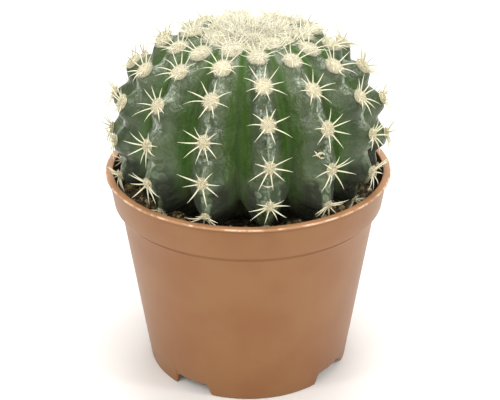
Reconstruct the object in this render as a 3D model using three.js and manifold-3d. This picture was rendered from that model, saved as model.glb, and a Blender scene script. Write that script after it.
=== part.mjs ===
// Potted round cactus: a ribbed globe cactus with spine clusters and a woolly crown,
// standing in peat soil in a thin-walled nursery pot.
// Millimetres, +Z up. The origin is under the middle of the pot's foot, and the front is -Y.

import * as THREE from 'three';
import { mergeVertices } from 'three/addons/utils/BufferGeometryUtils.js';
import Module from 'manifold-3d';

const wasm = await Module();
wasm.setup();

// ---------------------------------------------------------------- driving dimensions

const CLEARANCE = 0.35; // between pieces that rest on each other

const POT = {
  height: 89.5,
  footRadius: 44.0,
  wall: 1.2,
  floorBottom: 4.0,
  bodyTop: 72.5, // where the tapered wall meets the collar's step
  bodyTopRadius: 54.2,
  collarBottom: 75.5,
  collarBottomRadius: 57.0,
  collarTopRadius: 58.8,
  lipRadius: 60.0,
  lipThickness: 1.1,
  sides: 72,
};

// Drainage notches in the foot: azimuths of the two sides in degrees, from the front towards +X,
// at the foot's edge (low) and at the notch's top (high).
const NOTCHES = [
  { low: [-44.5, -20.2], high: [-43.2, -23.6] },
  { low: [39.9, 72.0], high: [44.4, 60.0] },
  { low: [132.5, 157.0], high: [134.0, 153.5] },
  { low: [-136.0, -111.0], high: [-132.5, -112.5] },
];
const NOTCH_HEIGHT = 4.8;
const DRAIN = { radius: 4.0, distance: 35.0, sides: 16 };

const SOIL = {
  edgeHeight: 75.6,
  centreHeight: 73.2,
  lump: 0.6,
  holeRadius: 14.4,
  holeDepth: 36.0,
  sides: 60,
};

const BODY = {
  ribs: 14,
  firstRib: 8.3, // azimuth of the rib nearest the front, in degrees
  radius: 57.3, // at the rib crests
  middle: 104.0, // height of the widest section
  topHeight: 44.5,
  bottomHeight: 30.0,
  exponent: 2.5, // of the superellipse that the crests follow
  grooveDepth: 12.0,
  saddle: 2.8, // dip of the crest between two areoles
  crownRadius: 17.0, // flat pit that the crown's wool fills
  crownHeight: 144.6,
  rows: 26,
};
const ROOT = { radius: 14.0, top: 74.0, bottom: 38.4 };

// Areoles along a rib: the first one's distance from the apex along the crest, and the step.
const AREOLE = { first: 26.0, step: 16.0, last: 108.0 };
// Share of a step by which each rib's areoles are shifted down, from the front rib round.
const RIB_SHIFT = [0.0, 0.3, 0.9, 0.5, 0.15, 0.65, 0.3, 0.85, 0.4, 0.05, 0.57, 0.25, 0.85, 0.45];

const SPINE = { base: 0.75, longest: 8.9, shortest: 6.5, count: 8 };
const PAD = { young: 3.3, old: 1.9, height: 1.2 };
const WOOL = { radius: 18.4, height: 149.6, lump: 0.8, spikes: 34, spikeLength: 4.2 };

// ---------------------------------------------------------------- materials

const finish = (color, roughness) => new THREE.MeshStandardMaterial({ color, roughness, metalness: 0 });
const TERRACOTTA = finish(0xa87852, 0.55);
const PEAT = finish(0x3a2a1e, 1.0);
const GREEN = finish(0x4f6646, 0.6);
const CREAM = finish(0xefe8cc, 0.95);

// ---------------------------------------------------------------- small helpers

const radians = THREE.MathUtils.degToRad;
const { clamp, lerp, smoothstep } = THREE.MathUtils;

/** A repeatable random source, so that every build places the spines alike. */
function seeded(seed) {
  let state = seed;
  return () => {
    state = (state * 1664525 + 1013904223) % 4294967296;
    return state / 4294967296;
  };
}

/** The point at a radius, an azimuth (radians from the front towards +X) and a height. */
function polar(radius, azimuth, z) {
  return new THREE.Vector3(radius * Math.sin(azimuth), -radius * Math.cos(azimuth), z);
}

/** A smooth field of about -1 to 1 that makes soil and wool uneven. */
function unevenness(x, y, scale) {
  const u = x / scale;
  const v = y / scale;
  return 0.5 * Math.sin(1.7 * u + 1.3 * Math.sin(v)) + 0.5 * Math.cos(1.9 * v - 1.1 * Math.sin(1.3 * u));
}

function geometryOf(vertices, triangles) {
  const geometry = new THREE.BufferGeometry();
  const flat = vertices.flatMap((p) => [p.x, p.y, p.z]);
  geometry.setAttribute('position', new THREE.Float32BufferAttribute(flat, 3));
  geometry.setIndex(triangles.flat());
  return geometry;
}

function solidOf(geometry) {
  const bare = geometry.clone();
  bare.deleteAttribute('normal');
  bare.deleteAttribute('uv');
  const merged = mergeVertices(bare, 1e-4);
  return new wasm.Manifold(new wasm.Mesh({
    numProp: 3,
    vertProperties: new Float32Array(merged.attributes.position.array),
    triVerts: new Uint32Array(merged.index.array),
  }));
}

function geometryFromSolid(solid) {
  const mesh = solid.getMesh();
  const geometry = new THREE.BufferGeometry();
  geometry.setAttribute('position', new THREE.BufferAttribute(new Float32Array(mesh.vertProperties), 3));
  geometry.setIndex(new THREE.BufferAttribute(new Uint32Array(mesh.triVerts), 1));
  return geometry;
}

/** A solid of revolution about +Z from [radius, height] pairs. */
function turned(profile, sides) {
  const points = profile.map(([radius, height]) => new THREE.Vector2(radius, height));
  return new THREE.LatheGeometry(points, sides).rotateX(Math.PI / 2);
}

/**
 * A closed skin round the Z axis: a top pole, rows of equally many points, and a bottom pole.
 * Each row runs with the azimuth, and the rows run downwards.
 */
function skin(top, rows, bottom) {
  const columns = rows[0].length;
  const vertices = [top, ...rows.flat(), bottom];
  const at = (row, column) => 1 + row * columns + (column % columns);
  const triangles = [];
  for (let column = 0; column < columns; column += 1) {
    triangles.push([0, at(0, column), at(0, column + 1)]);
    triangles.push([vertices.length - 1, at(rows.length - 1, column + 1), at(rows.length - 1, column)]);
  }
  for (let row = 0; row + 1 < rows.length; row += 1) {
    for (let column = 0; column < columns; column += 1) {
      const [a, b] = [at(row, column), at(row, column + 1)];
      const [c, d] = [at(row + 1, column), at(row + 1, column + 1)];
      triangles.push([a, c, b], [b, c, d]);
    }
  }
  return geometryOf(vertices, triangles);
}

function piece(name, geometry, material) {
  const mesh = new THREE.Mesh(geometry, material);
  mesh.name = name;
  return mesh;
}

// ---------------------------------------------------------------- pot

/** Outer radius of the tapered wall at a height. */
function wallRadius(z) {
  return lerp(POT.footRadius, POT.bodyTopRadius, z / POT.bodyTop);
}

/** Inner radius of the pot at a height, up through the step and the collar. */
function potInside(z) {
  const stepTop = POT.collarBottom + POT.wall * 0.7;
  const stepBottom = POT.bodyTop + POT.wall * 0.7;
  if (z <= stepBottom) {
    return wallRadius(Math.min(z, POT.bodyTop)) - POT.wall;
  }
  const wall = wallRadius(POT.bodyTop) - POT.wall;
  if (z <= stepTop) {
    return lerp(wall, POT.collarBottomRadius - POT.wall, (z - stepBottom) / (stepTop - stepBottom));
  }
  const along = clamp((z - stepTop) / (POT.height - stepTop), 0, 1);
  return lerp(POT.collarBottomRadius, POT.collarTopRadius, along) - POT.wall;
}

/** The solid that one notch takes out of the foot, drawn on downwards to 1 mm below it. */
function notchCutter({ low, high }) {
  const steps = 6;
  const reach = (NOTCH_HEIGHT + 1) / NOTCH_HEIGHT;
  const below = low.map((azimuth, side) => lerp(high[side], azimuth, reach));
  const spread = ([from, to]) => Array.from({ length: steps + 1 }, (_, step) => radians(lerp(from, to, step / steps)));
  const [lower, upper] = [spread(below), spread(high)];
  const inner = POT.footRadius - POT.wall - 0.2;
  const outer = POT.footRadius + 4;
  const vertices = [];
  for (let step = 0; step <= steps; step += 1) {
    vertices.push(polar(inner, lower[step], -1), polar(outer, lower[step], -1));
    vertices.push(polar(inner, upper[step], NOTCH_HEIGHT), polar(outer, upper[step], NOTCH_HEIGHT));
  }
  const triangles = [[0, 1, 2], [1, 3, 2]];
  for (let step = 0; step < steps; step += 1) {
    const a = step * 4;
    const b = a + 4;
    triangles.push([a, b, a + 1], [a + 1, b, b + 1]);
    triangles.push([a + 2, a + 3, b + 2], [a + 3, b + 3, b + 2]);
    triangles.push([a, a + 2, b], [a + 2, b + 2, b]);
    triangles.push([a + 1, b + 1, a + 3], [a + 3, b + 1, b + 3]);
  }
  const last = steps * 4;
  triangles.push([last, last + 2, last + 1], [last + 1, last + 2, last + 3]);
  return solidOf(geometryOf(vertices, triangles));
}

function makePot() {
  const { height, wall, floorBottom } = POT;
  const floorTop = floorBottom + wall;
  const lipBottom = height - POT.lipThickness;
  const shell = turned([
    [0, floorBottom],
    [wallRadius(floorBottom) - wall, floorBottom],
    [POT.footRadius - wall, 0],
    [POT.footRadius, 0],
    [POT.bodyTopRadius, POT.bodyTop],
    [POT.collarBottomRadius - 0.4, POT.collarBottom - 0.5],
    [POT.collarBottomRadius, POT.collarBottom],
    [POT.collarTopRadius, lipBottom],
    [POT.lipRadius, lipBottom],
    [POT.lipRadius, height],
    [potInside(height), height],
    [potInside(POT.collarBottom + wall * 0.7), POT.collarBottom + wall * 0.7],
    [potInside(POT.bodyTop + wall * 0.7), POT.bodyTop + wall * 0.7],
    [potInside(floorTop), floorTop],
    [0, floorTop],
  ], POT.sides);
  let pot = solidOf(shell);
  for (const notch of NOTCHES) {
    pot = pot.subtract(notchCutter(notch));
    const hole = turned([[0, 0], [DRAIN.radius, 0], [DRAIN.radius, floorTop + 2], [0, floorTop + 2]], DRAIN.sides);
    const centre = polar(DRAIN.distance, radians((notch.high[0] + notch.high[1]) / 2), 0);
    pot = pot.subtract(solidOf(hole.translate(centre.x, centre.y, 0)));
  }
  return piece('pot', geometryFromSolid(pot), TERRACOTTA);
}

// ---------------------------------------------------------------- soil

/** Height of the soil's surface at a point, level near the stem and uneven further out. */
function soilHeight(x, y) {
  const radius = Math.hypot(x, y);
  const level = lerp(SOIL.centreHeight, SOIL.edgeHeight, smoothstep(radius, 22, 37));
  return level + SOIL.lump * smoothstep(radius, 26, 36) * unevenness(x, y, 3.1);
}

function makeSoil() {
  const gap = CLEARANCE;
  const bottom = POT.floorBottom + POT.wall + gap;
  const shoulder = POT.bodyTop + POT.wall * 0.7;
  const rimRadius = potInside(SOIL.edgeHeight) - gap - 0.3;
  const azimuths = Array.from({ length: SOIL.sides }, (_, side) => (2 * Math.PI * side) / SOIL.sides);
  const round = (radius, z) => azimuths.map((azimuth) => polar(radius, azimuth, z));
  const hole = [round(4.2, SOIL.holeDepth + 2), round(SOIL.holeRadius - 1, 60)];
  const surface = [SOIL.holeRadius, 22, 28, 33, 37, 40, 43, 46, 49, 52].map(
    (radius) => round(radius, 0).map((point) => point.setZ(soilHeight(point.x, point.y))),
  );
  const side = [
    round(rimRadius, SOIL.edgeHeight - 0.6),
    round(potInside(shoulder) - gap, shoulder),
    round(potInside(bottom) - gap, bottom),
  ];
  const holeFloor = new THREE.Vector3(0, 0, SOIL.holeDepth);
  const geometry = skin(holeFloor, [...hole, ...surface, ...side], new THREE.Vector3(0, 0, bottom));
  return piece('soil', geometry, PEAT);
}

// ---------------------------------------------------------------- cactus body

/** Crest profile point and outward normal at an angle from +90 (apex) to -90 degrees (base). */
function crestAt(angle) {
  const power = 2 / BODY.exponent;
  const [c, s] = [Math.max(Math.cos(angle), 1e-6), Math.sin(angle)];
  const half = s >= 0 ? BODY.topHeight : BODY.bottomHeight;
  const r = BODY.radius * c ** power;
  const z = BODY.middle + half * Math.sign(s) * Math.abs(s) ** power;
  const normal = new THREE.Vector2(
    (r / BODY.radius) ** (BODY.exponent - 1) / BODY.radius,
    (Math.sign(s) * (Math.abs(z - BODY.middle) / half) ** (BODY.exponent - 1)) / half,
  ).normalize();
  return { r, z, normal };
}

/** The crest as a list of stations with their distance from the apex along the crest. */
const CREST = (() => {
  const stations = [];
  const count = 900;
  let along = 0;
  for (let step = 0; step <= count; step += 1) {
    const station = crestAt(Math.PI / 2 - (Math.PI * step) / count);
    if (step > 0) {
      const before = stations[step - 1];
      along += Math.hypot(station.r - before.r, station.z - before.z);
    }
    stations.push({ ...station, along });
  }
  return stations;
})();

function crestAlong(distance) {
  const index = CREST.findIndex((station) => station.along >= distance);
  const [after, before] = [CREST[index], CREST[Math.max(index - 1, 0)]];
  const span = after.along - before.along || 1;
  const share = (distance - before.along) / span;
  return {
    r: lerp(before.r, after.r, share),
    z: lerp(before.z, after.z, share),
    normal: before.normal.clone().lerp(after.normal, share).normalize(),
  };
}

/** Depth below the crest across a rib: a rounded crest, nearly flat flanks, a sharp groove. */
function flank(across) {
  const round = 0.14;
  const ridge = (Math.hypot(across, round) - round) / (Math.hypot(1, round) - round);
  return 0.75 * ridge + 0.25 * across * across;
}

/** Groove depth along the body: none at the crown, full at the shoulder, none at the root. */
function grooveDepth(distance, r) {
  return BODY.grooveDepth * smoothstep(distance, 17, 60) ** 0.7 * smoothstep(r, 16, 44);
}

/** Dip of the crest between areoles, nil at an areole and just below it. */
function saddleDip(distance, rib) {
  const step = (distance - AREOLE.first) / AREOLE.step - RIB_SHIFT[rib];
  const beyond = step - Math.floor(step);
  const wave = 0.5 - 0.5 * Math.cos(2 * Math.PI * clamp((beyond - 0.12) / 0.88, 0, 1));
  return BODY.saddle * wave * smoothstep(distance, 20, 45);
}

/** A point of the body's surface. `turn` counts ribs round from the first, so 0.5 is a groove. */
function bodyPoint(distance, turn) {
  const { r, z, normal } = crestAlong(distance);
  const rib = ((Math.round(turn) % BODY.ribs) + BODY.ribs) % BODY.ribs;
  const across = Math.abs(turn - Math.round(turn)) * 2;
  const sink = grooveDepth(distance, r) * flank(across) + saddleDip(distance, rib) * (1 - across) ** 1.5;
  const pit = Math.max(0, z - BODY.crownHeight) * (1 - smoothstep(r, BODY.crownRadius, BODY.crownRadius + 4));
  const azimuth = radians(BODY.firstRib) + (2 * Math.PI * turn) / BODY.ribs;
  const inward = distance < CREST.at(-1).along / 2 ? pit : 0;
  return polar(Math.max(r - sink * normal.x, 1), azimuth, z - sink * normal.y - inward);
}

const CROSS_STATIONS = [-0.18, 0, 0.18, 0.5]; // columns across a rib, in ribs from its crest

function ribTurns() {
  return Array.from({ length: BODY.ribs }, (_, rib) => CROSS_STATIONS.map((share) => rib + share)).flat();
}

/** Outward normal of the crest in space at a distance along a rib. */
function crestNormal(distance, rib) {
  const { normal } = crestAlong(distance);
  const azimuth = radians(BODY.firstRib) + (2 * Math.PI * rib) / BODY.ribs;
  return polar(normal.x, azimuth, normal.y);
}

function bodyGeometry() {
  const turns = ribTurns();
  const underside = CREST.find((station) => station.z < BODY.middle && station.r < 21).along;
  const rows = [6, 12, 15.5, 17.5, 19.5, 21.5].map((distance) => turns.map((turn) => bodyPoint(distance, turn)));
  const start = 24.5;
  for (let row = 0; row <= BODY.rows; row += 1) {
    const distance = lerp(start, underside, row / BODY.rows);
    rows.push(turns.map((turn) => bodyPoint(distance, turn)));
  }
  const neck = [[ROOT.radius, ROOT.top], [ROOT.radius - 1, 60], [3.6, ROOT.bottom + 2]];
  for (const [radius, z] of neck) {
    rows.push(turns.map((turn) => polar(radius, radians(BODY.firstRib) + (2 * Math.PI * turn) / BODY.ribs, z)));
  }
  const apex = new THREE.Vector3(0, 0, BODY.crownHeight);
  return skin(apex, rows, new THREE.Vector3(0, 0, ROOT.bottom));
}

// ---------------------------------------------------------------- spine clusters

/** Keeps a spine's tip inside the pot's mouth, above the soil and out of the crown's wool. */
function clearTip(root, tip) {
  const azimuth = Math.atan2(tip.x, -tip.y);
  let radius = Math.hypot(tip.x, tip.y);
  let { z } = tip;
  const low = Math.min(root.z, z);
  if (low < POT.height + 1.5) {
    const mouth = potInside(Math.min(z, POT.height)) - 1.2;
    radius = Math.min(radius, mouth);
    z = Math.max(z, SOIL.edgeHeight + SOIL.lump + 0.8);
  }
  if (z > BODY.crownHeight - 2) {
    radius = Math.max(radius, WOOL.radius + 0.8);
  }
  return polar(radius, azimuth, z);
}

/** One areole: a low domed pad with a ring of spines, closed and sunk into the rib. */
function cluster(distance, rib, random) {
  const centre = bodyPoint(distance, rib);
  const normal = crestNormal(distance, rib);
  const upward = bodyPoint(distance - 1, rib).sub(bodyPoint(distance + 1, rib));
  upward.addScaledVector(normal, -upward.dot(normal)).normalize();
  const sideways = new THREE.Vector3().crossVectors(normal, upward).normalize();
  const age = smoothstep(distance, 30, 66);
  const padRadius = lerp(PAD.young, PAD.old, age);
  const place = (angle, radius, height) => centre.clone()
    .addScaledVector(upward, radius * Math.cos(angle))
    .addScaledVector(sideways, radius * Math.sin(angle))
    .addScaledVector(normal, height);

  const { count } = SPINE;
  const twist = random() * 2 * Math.PI;
  const halfRoot = SPINE.base / 2 / padRadius;
  const vertices = [place(0, 0, PAD.height), place(0, 0, -2.6)];
  const triangles = [];
  const ring = (index, part) => 2 + 4 * (index % count) + part; // part: 0 top, 1 left, 2 right, 3 tip
  for (let index = 0; index < count; index += 1) {
    const angle = twist + (2 * Math.PI * (index + 0.35 * (random() - 0.5))) / count;
    const length = lerp(SPINE.shortest, SPINE.longest, random()) * lerp(0.85, 1, age);
    const above = 0.5 + 0.5 * Math.cos(angle);
    const rise = radians(lerp(13, 36, above * above) + 10 * (random() - 0.5));
    const root = place(angle, padRadius * 0.82, SPINE.base);
    const tip = place(angle, padRadius * 0.8 + length * Math.cos(rise), 0.4 + length * Math.sin(rise));
    vertices.push(root, place(angle - halfRoot, padRadius, 0), place(angle + halfRoot, padRadius, 0));
    vertices.push(clearTip(root, tip));
    triangles.push([ring(index, 1), ring(index, 2), ring(index, 3)]);
    triangles.push([ring(index, 2), ring(index, 0), ring(index, 3)]);
    triangles.push([ring(index, 0), ring(index, 1), ring(index, 3)]);
    triangles.push([0, ring(index, 0), ring(index + 1, 0)]);
    triangles.push([ring(index, 0), ring(index, 2), ring(index + 1, 1)]);
    triangles.push([ring(index, 0), ring(index + 1, 1), ring(index + 1, 0)]);
    triangles.push([1, ring(index, 2), ring(index, 1)]);
    triangles.push([1, ring(index + 1, 1), ring(index, 2)]);
  }
  return solidOf(geometryOf(vertices, triangles));
}

function makeCactus() {
  const random = seeded(7);
  let cactus = solidOf(bodyGeometry());
  for (let rib = 0; rib < BODY.ribs; rib += 1) {
    const first = AREOLE.first + AREOLE.step * RIB_SHIFT[rib];
    for (let distance = first; distance < AREOLE.last; distance += AREOLE.step) {
      cactus = cactus.add(cluster(distance, rib, random));
    }
  }
  return piece('cactus', geometryFromSolid(cactus), GREEN);
}

// ---------------------------------------------------------------- crown wool

/** A thin upright spine of three sides with its root below the wool's surface. */
function youngSpine(foot, tip) {
  const vertices = [0, 1, 2].map((corner) => {
    const angle = (2 * Math.PI * corner) / 3;
    return new THREE.Vector3(foot.x + 0.45 * Math.cos(angle), foot.y + 0.45 * Math.sin(angle), foot.z);
  });
  vertices.push(tip);
  return solidOf(geometryOf(vertices, [[0, 2, 1], [0, 1, 3], [1, 2, 3], [2, 0, 3]]));
}

function woolHeight(x, y) {
  const share = Math.hypot(x, y) / WOOL.radius;
  const dome = lerp(BODY.crownHeight + 1.6, WOOL.height, Math.sqrt(Math.max(0, 1 - share ** 2.6)));
  return dome + WOOL.lump * (1 - share) * unevenness(x, y, 2.2);
}

function makeCrownWool() {
  const azimuths = ribTurns().map((turn) => radians(BODY.firstRib) + (2 * Math.PI * turn) / BODY.ribs);
  const topRadii = [4, 8, 12, 15, 17.4, WOOL.radius];
  const rows = topRadii.map((radius) => azimuths.map((azimuth) => {
    const point = polar(radius, azimuth, 0);
    return point.setZ(woolHeight(point.x, point.y));
  }));
  const seat = BODY.crownHeight + CLEARANCE;
  rows.push(azimuths.map((azimuth) => polar(WOOL.radius - 0.4, azimuth, seat + 0.9)));
  rows.push(azimuths.map((azimuth) => polar(BODY.crownRadius - 0.4, azimuth, seat)));
  const apex = new THREE.Vector3(0, 0, woolHeight(0, 0));
  let wool = solidOf(skin(apex, rows, new THREE.Vector3(0, 0, seat)));
  const random = seeded(21);
  const golden = Math.PI * (3 - Math.sqrt(5));
  for (let index = 0; index < WOOL.spikes; index += 1) {
    const radius = 0.86 * WOOL.radius * Math.sqrt((index + 0.5) / WOOL.spikes);
    const foot = polar(radius, index * golden, 0);
    foot.setZ(woolHeight(foot.x, foot.y) - 1.6);
    const lean = polar(0.35 * (radius / WOOL.radius) + 0.1, index * golden + 2 * (random() - 0.5), 1);
    const tip = foot.clone().addScaledVector(lean, (1.6 + WOOL.spikeLength * lerp(0.6, 1, random())));
    wool = wool.add(youngSpine(foot, tip));
  }
  return piece('crown_wool', geometryFromSolid(wool), CREAM);
}

// ---------------------------------------------------------------- assembly

const plant = new THREE.Group();
plant.add(makeCactus(), makeCrownWool());

const pottedCactus = new THREE.Group();
pottedCactus.add(makePot(), makeSoil(), plant);

export default pottedCactus;
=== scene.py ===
"""The looks of a potted round cactus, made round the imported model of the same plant.

Sizes are in millimetres unless a comment says otherwise, and each mesh is scaled to metres when made.
The origin is under the middle of the pot's foot, +Z is up and -Y is the front.
"""

import logging
import math
from dataclasses import dataclass
from enum import Enum

import bmesh
import bpy
import numpy as np
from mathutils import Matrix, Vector, noise


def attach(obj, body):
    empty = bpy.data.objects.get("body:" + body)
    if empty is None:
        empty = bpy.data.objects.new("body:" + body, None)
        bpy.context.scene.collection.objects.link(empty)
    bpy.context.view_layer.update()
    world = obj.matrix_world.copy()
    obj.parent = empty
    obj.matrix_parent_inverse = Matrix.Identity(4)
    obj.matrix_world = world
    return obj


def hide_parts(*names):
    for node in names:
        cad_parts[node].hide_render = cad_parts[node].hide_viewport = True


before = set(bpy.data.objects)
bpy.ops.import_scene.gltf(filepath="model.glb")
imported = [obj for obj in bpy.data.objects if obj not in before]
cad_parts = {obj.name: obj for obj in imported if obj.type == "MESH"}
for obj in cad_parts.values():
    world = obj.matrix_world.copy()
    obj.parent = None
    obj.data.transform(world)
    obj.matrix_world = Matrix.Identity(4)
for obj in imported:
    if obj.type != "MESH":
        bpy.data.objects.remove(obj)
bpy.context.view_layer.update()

LOG = logging.getLogger("potted_cactus")
MM = 0.001
FULL_TURN = 2 * math.pi

Array = np.ndarray
Colour = tuple[float, float, float, float]
Material = bpy.types.Material
Mesh = bpy.types.Mesh
Piece = bpy.types.Object
Socket = bpy.types.NodeSocket


class Node(Enum):
    """The CAD nodes that the pieces stand for."""

    POT = "pot"
    SOIL = "soil"
    CACTUS = "cactus"
    WOOL = "crown_wool"


# Small helpers


def tint(red: int, green: int, blue: int) -> Colour:
    """A colour given on the 0 to 255 scale, as linear light.

    Args:
        red: Red, 0 to 255.
        green: Green, 0 to 255.
        blue: Blue, 0 to 255.

    Returns:
        The linear colour with an alpha of 1.
    """
    shares = [value / 255 for value in (red, green, blue)]
    linear = [s / 12.92 if s <= 0.04045 else ((s + 0.055) / 1.055) ** 2.4 for s in shares]
    return (*linear, 1.0)


def smooth(values: Array, low: float, high: float) -> Array:
    """A smooth step from 0 at low to 1 at high."""
    share = np.clip((np.asarray(values, dtype=float) - low) / (high - low), 0.0, 1.0)
    return share * share * (3 - 2 * share)


def polar(radius: Array, azimuth: Array, height: Array) -> Array:
    """Points at radii, azimuths in radians from the front towards +X, and heights."""
    radius, azimuth, height = np.broadcast_arrays(radius, azimuth, height)
    return np.stack([radius * np.sin(azimuth), -radius * np.cos(azimuth), height], axis=-1)


def radius_of(points: Array) -> Array:
    """The points' distances from the Z axis."""
    return np.hypot(points[:, 0], points[:, 1])


def azimuth_of(points: Array) -> Array:
    """The points' azimuths in radians, from the front towards +X."""
    return np.arctan2(points[:, 0], -points[:, 1])


def unit(vectors: Array) -> Array:
    """The vectors at length 1."""
    return vectors / np.maximum(np.linalg.norm(vectors, axis=-1, keepdims=True), 1e-9)


def grain(points: Array, size: float, seed: float = 0.0) -> Array:
    """Smooth noise of about -1 to 1 at points, with features of a size in the points' unit."""
    shift = Vector((seed * 17.3, seed * 5.1, seed * 9.7))
    return np.array([noise.noise(Vector(point) / size + shift) for point in points])


def make_object(name: str, mesh: Mesh, shade_smooth: bool = True) -> Piece:
    """A linked object for a mesh, at the origin.

    Args:
        name: The object's name.
        mesh: Its mesh, in metres.
        shade_smooth: Whether its faces are shaded smooth.

    Returns:
        The new object.
    """
    mesh.polygons.foreach_set("use_smooth", [shade_smooth] * len(mesh.polygons))
    piece = bpy.data.objects.new(name, mesh)
    bpy.context.scene.collection.objects.link(piece)
    return piece


def plain_mesh(bm: bmesh.types.BMesh, name: str) -> Mesh:
    """A mesh from a bmesh as it is. The bmesh is freed.

    Args:
        bm: The bmesh.
        name: The mesh's name.

    Returns:
        The mesh, in the bmesh's unit.
    """
    mesh = bpy.data.meshes.new(name)
    bm.to_mesh(mesh)
    bm.free()
    return mesh


def mesh_from(bm: bmesh.types.BMesh, name: str) -> Mesh:
    """A mesh in metres from a bmesh in millimetres, with its faces turned outwards.

    Args:
        bm: The bmesh, which is freed.
        name: The mesh's name.

    Returns:
        The mesh.
    """
    bmesh.ops.recalc_face_normals(bm, faces=bm.faces)
    bmesh.ops.scale(bm, vec=(MM, MM, MM), verts=bm.verts)
    return plain_mesh(bm, name)


def spun(section: list[tuple[float, float]], columns: int) -> bmesh.types.BMesh:
    """A section spun a full turn round the Z axis.

    Args:
        section: Radii and heights, from one end of the section to the other.
        columns: Steps in the turn.

    Returns:
        The bmesh, in millimetres.
    """
    bm = bmesh.new()
    verts = [bm.verts.new((0, -radius, height)) for radius, height in section]
    edges = [bm.edges.new(pair) for pair in zip(verts, verts[1:])]
    turn = {"cent": (0, 0, 0), "axis": (0, 0, 1), "angle": FULL_TURN, "steps": columns}
    bmesh.ops.spin(bm, geom=verts + edges, use_merge=True, **turn)
    bmesh.ops.remove_doubles(bm, verts=bm.verts, dist=0.001)
    return bm


def read_points(mesh: Mesh) -> Array:
    """A mesh's vertices.

    Args:
        mesh: The mesh.

    Returns:
        One point a row, in the mesh's unit.
    """
    flat = np.empty(len(mesh.vertices) * 3)
    mesh.vertices.foreach_get("co", flat)
    return flat.reshape(-1, 3)


def write_points(mesh: Mesh, points: Array) -> None:
    """Moves a mesh's vertices to points given in millimetres."""
    mesh.vertices.foreach_set("co", (points * MM).ravel())
    mesh.update()


def write_attribute(mesh: Mesh, name: str, values: Array) -> None:
    """Keeps one number, or one vector, a vertex on a mesh, for its material to read.

    Args:
        mesh: The mesh.
        name: The attribute's name.
        values: Its values, one a vertex.
    """
    plain = values.ndim == 1
    layer = mesh.attributes.new(name, "FLOAT" if plain else "FLOAT_VECTOR", "POINT")
    layer.data.foreach_set("value" if plain else "vector", values.astype(np.float32).ravel())


def ball_mesh(name: str, columns: int, rows: int) -> tuple[Mesh, Array, Array]:
    """A ball whose vertices are then moved on to another round form.

    Args:
        name: The mesh's name.
        columns: Faces round it.
        rows: Faces from pole to pole.

    Returns:
        The mesh, its vertices' azimuths, and their shares of the way from the top to the bottom.
    """
    bm = bmesh.new()
    bmesh.ops.create_uvsphere(bm, u_segments=columns, v_segments=rows, radius=1)
    mesh = plain_mesh(bm, name)
    ball = unit(read_points(mesh))
    return mesh, azimuth_of(ball), np.arccos(np.clip(ball[:, 2], -1, 1)) / math.pi


def settle(piece: Piece, stands_for: Node, finish: Material) -> None:
    """Gives a piece its finish and its CAD body, and hides the CAD node that it stands for.

    Args:
        piece: The finished piece.
        stands_for: The CAD node that it replaces, which is hidden.
        finish: Its material.
    """
    piece.data.materials.clear()
    piece.data.materials.append(finish)
    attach(piece, "root")
    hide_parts(stands_for.value)
    LOG.info("%s: %d faces, for %s", piece.name, len(piece.data.polygons), stands_for.value)


class Template:
    """A small shape that is repeated many times."""

    def __init__(self, bm: bmesh.types.BMesh) -> None:
        """Keeps a shape.

        Args:
            bm: The bmesh that holds it, which is freed.
        """
        bmesh.ops.recalc_face_normals(bm, faces=bm.faces)
        self.mesh = plain_mesh(bm, "template")
        self.points = read_points(self.mesh)

    @classmethod
    def spike(cls, sides: int, tip: float) -> bmesh.types.BMesh:
        """A straight spike of length 1 along +Z and radius 1 at its base.

        Args:
            sides: Faces round it.
            tip: Its radius at the top.

        Returns:
            The bmesh.
        """
        bm = bmesh.new()
        bmesh.ops.create_cone(bm, cap_ends=True, segments=sides, radius1=1, radius2=tip, depth=1)
        bmesh.ops.translate(bm, vec=(0, 0, 0.5), verts=bm.verts)
        return bm

    @classmethod
    def hair(cls) -> "Template":
        """A three-sided hair with 4 faces."""
        return cls(cls.spike(3, 0))

    @classmethod
    def taper(cls, sides: int, stretches: int, fullness: float = 1.6) -> "Template":
        """A slender spike that narrows to its tip in several stretches.

        Args:
            sides: Faces round it.
            stretches: Stretches that its length is divided into.
            fullness: How far up it stays thick: 1 is a cone, and more is blunter.

        Returns:
            The spike.
        """
        bm = cls.spike(sides, 1)
        long_edges = [edge for edge in bm.edges if abs(edge.verts[0].co.z - edge.verts[1].co.z) > 0.5]
        bmesh.ops.subdivide_edges(bm, edges=long_edges, cuts=stretches - 1, use_grid_fill=True)
        for vert in bm.verts:
            vert.co.xy *= max(1 - vert.co.z**fullness, 0.06)
        return cls(bm)

    @classmethod
    def ball(cls, subdivisions: int) -> "Template":
        """A ball of radius 1.

        Args:
            subdivisions: Subdivisions of its icosphere.

        Returns:
            The ball.
        """
        bm = bmesh.new()
        bmesh.ops.create_icosphere(bm, subdivisions=subdivisions, radius=1)
        return cls(bm)

    def repeated(self, name: str, points: Array) -> Mesh:
        """A mesh that holds one copy of the template for each row of points.

        Args:
            name: The mesh's name.
            points: Copies by template vertices by X, Y, Z, in millimetres.

        Returns:
            The mesh, in metres.
        """
        bm = bmesh.new()
        for _ in range(len(points)):
            bm.from_mesh(self.mesh)
        mesh = plain_mesh(bm, name)
        write_points(mesh, points.reshape(-1, 3))
        return mesh


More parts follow.
